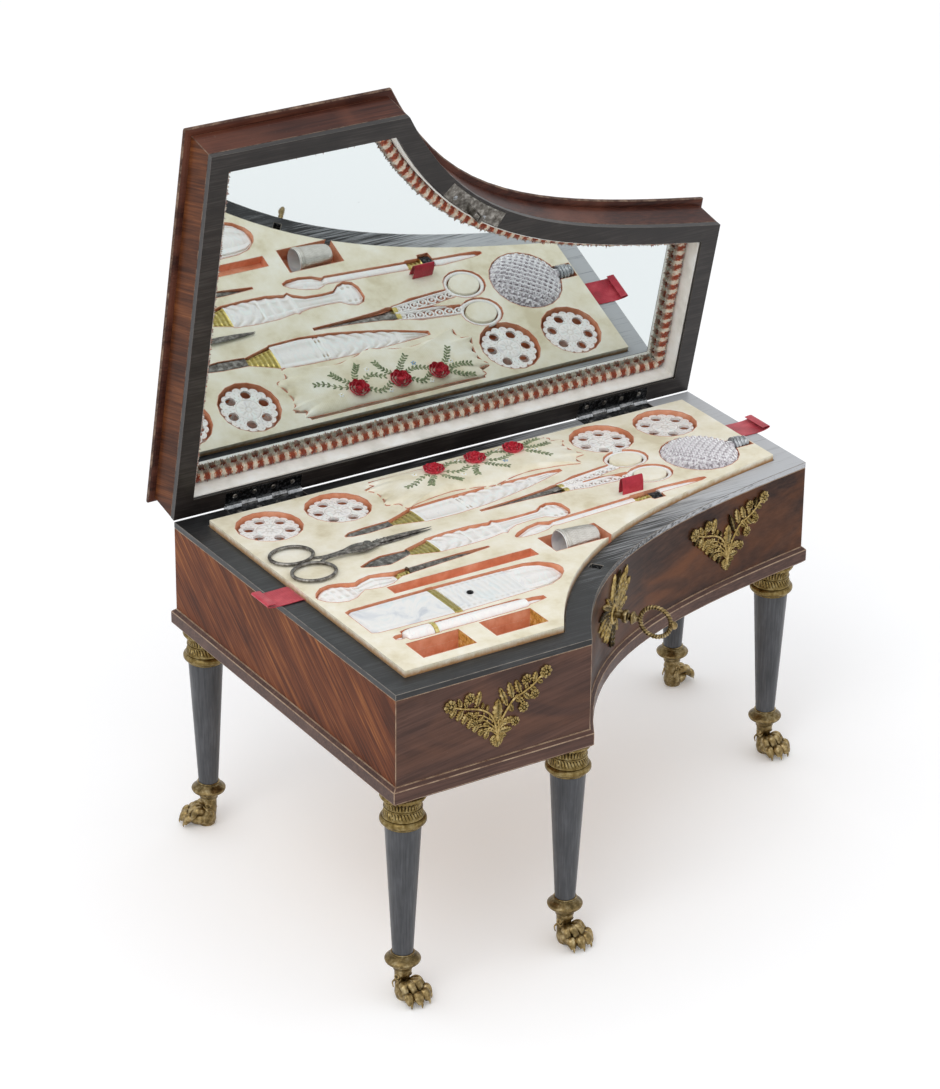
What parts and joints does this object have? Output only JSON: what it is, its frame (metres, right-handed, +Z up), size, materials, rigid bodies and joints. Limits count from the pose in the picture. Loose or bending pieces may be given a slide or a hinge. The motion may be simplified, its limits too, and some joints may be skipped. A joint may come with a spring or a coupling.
{
  "type": "necessaire box",
  "caption": "Piano-shaped sewing necessaire on paw-footed legs, lid open on a mirror, with a fitted tray of pearl and steel tools.",
  "frame": {"origin": "middle of the bounding box in plan, on the floor under the feet, lid open as pictured", "axes": "+Z up, +X along the hinge edge towards the short side, +Y from the front towards the hinge edge"},
  "size_m": [0.3148, 0.2328, 0.3712],
  "materials": {
    "mahogany": "polished figured veneer",
    "ebonised_wood": "ebonised, waxed",
    "pine": "plain sawn softwood",
    "gilt_bronze": "worn gilding, chased",
    "steel": "polished, slightly tarnished",
    "mirror_glass": "old silvered glass",
    "lining_paper": "matt",
    "chenille": "twisted two-colour pile",
    "tray_silk": "aged silk over board",
    "mother_of_pearl": "carved and polished shell",
    "cut_glass": "diamond cut",
    "red_ribbon": "satin"
  },
  "bodies": {
    "case": {"case_carcass": "mahogany", "plinth_moulding": "mahogany", "case_rim": "ebonised_wood", "case_bottom": "pine", "tray_ledge": "pine", "leg_back_left_capital": "gilt_bronze", "leg_back_left_taper": "ebonised_wood", "leg_back_left_foot": "gilt_bronze", "leg_front_left_capital": "gilt_bronze", "leg_front_left_taper": "ebonised_wood", "leg_front_left_foot": "gilt_bronze", "leg_middle_capital": "gilt_bronze", "leg_middle_taper": "ebonised_wood", "leg_middle_foot": "gilt_bronze", "leg_right_front_capital": "gilt_bronze", "leg_right_front_taper": "ebonised_wood", "leg_right_front_foot": "gilt_bronze", "leg_back_right_capital": "gilt_bronze", "leg_back_right_taper": "ebonised_wood", "leg_back_right_foot": "gilt_bronze", "spray_mount_front": "gilt_bronze", "spray_mount_side": "gilt_bronze", "escutcheon": "gilt_bronze", "lock_case": "steel", "hinge_left_case_leaf": "steel", "hinge_right_case_leaf": "steel"},
    "lid": {"lid_frame": "mahogany", "lid_rim": "ebonised_wood", "lid_top": "mahogany", "mirror": "mirror_glass", "lid_lining": "lining_paper", "mirror_trim": "chenille", "strike_plate": "steel", "hinge_left_lid_leaf": "steel", "hinge_right_lid_leaf": "steel"},
    "key": {"key": "gilt_bronze"},
    "lock_bolt": {"lock_bolt": "steel"},
    "tray": {"tray_board": "tray_silk", "tray_base": "tray_silk", "pincushion": "tray_silk", "ribbon_pull_left": "red_ribbon", "ribbon_pull_right": "red_ribbon", "ribbon_loop": "red_ribbon"},
    "steel_scissors": {"steel_scissors_lower": "steel"},
    "steel_scissors_arm": {"steel_scissors_upper": "steel"},
    "pearl_scissors": {"pearl_scissors_lower": "mother_of_pearl", "pearl_scissors_upper": "mother_of_pearl"},
    "flask_cap": {"flask_cap": "steel"},
    "reel_a": {"reel_a": "mother_of_pearl"},
    "reel_b": {"reel_b": "mother_of_pearl"},
    "reel_c": {"reel_c": "mother_of_pearl"},
    "reel_d": {"reel_d": "mother_of_pearl"},
    "knife_long": {"knife_long": "mother_of_pearl"},
    "knife_waisted": {"knife_waisted": "mother_of_pearl"},
    "stiletto": {"stiletto": "mother_of_pearl"},
    "tambour_hook": {"tambour_hook": "mother_of_pearl"},
    "needle_case": {"needle_case": "mother_of_pearl"},
    "barrel_case": {"barrel_case": "mother_of_pearl"},
    "thimble": {"thimble": "steel"},
    "flask": {"flask": "cut_glass"}
  },
  "joints": [
    {"name": "lid_hinge", "type": "hinge", "parent": "case", "child": "lid", "pos_m": [0, 0.09285, 0.1643], "axis": [-1, 0, 0], "range_deg": [-77, 28]},
    {"name": "tray_lift", "type": "slide", "parent": "case", "child": "tray", "axis": [0, 0, 1], "range_m": [0, 0.03]},
    {"name": "key_turn", "type": "hinge", "parent": "case", "child": "key", "pos_m": [0.00227, -0.05574, 0.1395], "axis": [0.5813, -0.8137, 0], "range_deg": [0, 90]},
    {"name": "bolt_throw", "type": "slide", "parent": "case", "child": "lock_bolt", "axis": [0.8057, 0.5924, 0], "range_m": [0, 0.0045]},
    {"name": "reel_a_lift", "type": "slide", "parent": "tray", "child": "reel_a", "axis": [0, 0, 1], "range_m": [0, 0.025]},
    {"name": "reel_b_lift", "type": "slide", "parent": "tray", "child": "reel_b", "axis": [0, 0, 1], "range_m": [0, 0.025]},
    {"name": "reel_c_lift", "type": "slide", "parent": "tray", "child": "reel_c", "axis": [0, 0, 1], "range_m": [0, 0.025]},
    {"name": "reel_d_lift", "type": "slide", "parent": "tray", "child": "reel_d", "axis": [0, 0, 1], "range_m": [0, 0.025]},
    {"name": "knife_long_lift", "type": "slide", "parent": "tray", "child": "knife_long", "axis": [0, 0, 1], "range_m": [0, 0.025]},
    {"name": "knife_waisted_lift", "type": "slide", "parent": "tray", "child": "knife_waisted", "axis": [0, 0, 1], "range_m": [0, 0.025]},
    {"name": "stiletto_lift", "type": "slide", "parent": "tray", "child": "stiletto", "axis": [0, 0, 1], "range_m": [0, 0.025]},
    {"name": "tambour_hook_lift", "type": "slide", "parent": "tray", "child": "tambour_hook", "axis": [0, 0, 1], "range_m": [0, 0.025]},
    {"name": "needle_case_lift", "type": "slide", "parent": "tray", "child": "needle_case", "axis": [0, 0, 1], "range_m": [0, 0.025]},
    {"name": "barrel_case_lift", "type": "slide", "parent": "tray", "child": "barrel_case", "axis": [0, 0, 1], "range_m": [0, 0.025]},
    {"name": "thimble_lift", "type": "slide", "parent": "tray", "child": "thimble", "axis": [0, 0, 1], "range_m": [0, 0.025]},
    {"name": "flask_lift", "type": "slide", "parent": "tray", "child": "flask", "axis": [0, 0, 1], "range_m": [0, 0.025]},
    {"name": "pearl_scissors_lift", "type": "slide", "parent": "tray", "child": "pearl_scissors", "axis": [0, 0, 1], "range_m": [0, 0.025]},
    {"name": "steel_scissors_lift", "type": "slide", "parent": "tray", "child": "steel_scissors", "axis": [0, 0, 1], "range_m": [0, 0.025]},
    {"name": "steel_scissors_pivot", "type": "hinge", "parent": "steel_scissors", "child": "steel_scissors_arm", "pos_m": [-0.0885, 0.01595, 0.1669], "axis": [0, 0, 1], "range_deg": [0, 35]},
    {"name": "flask_cap_turn", "type": "hinge", "parent": "flask", "child": "flask_cap", "pos_m": [0.1071, 0.02227, 0.1659], "axis": [1, 0, 0], "continuous": true}
  ],
  "couplings": [
    {"joint": "bolt_throw", "follows": "key_turn", "m_per_rad": 0.0025465}
  ]
}
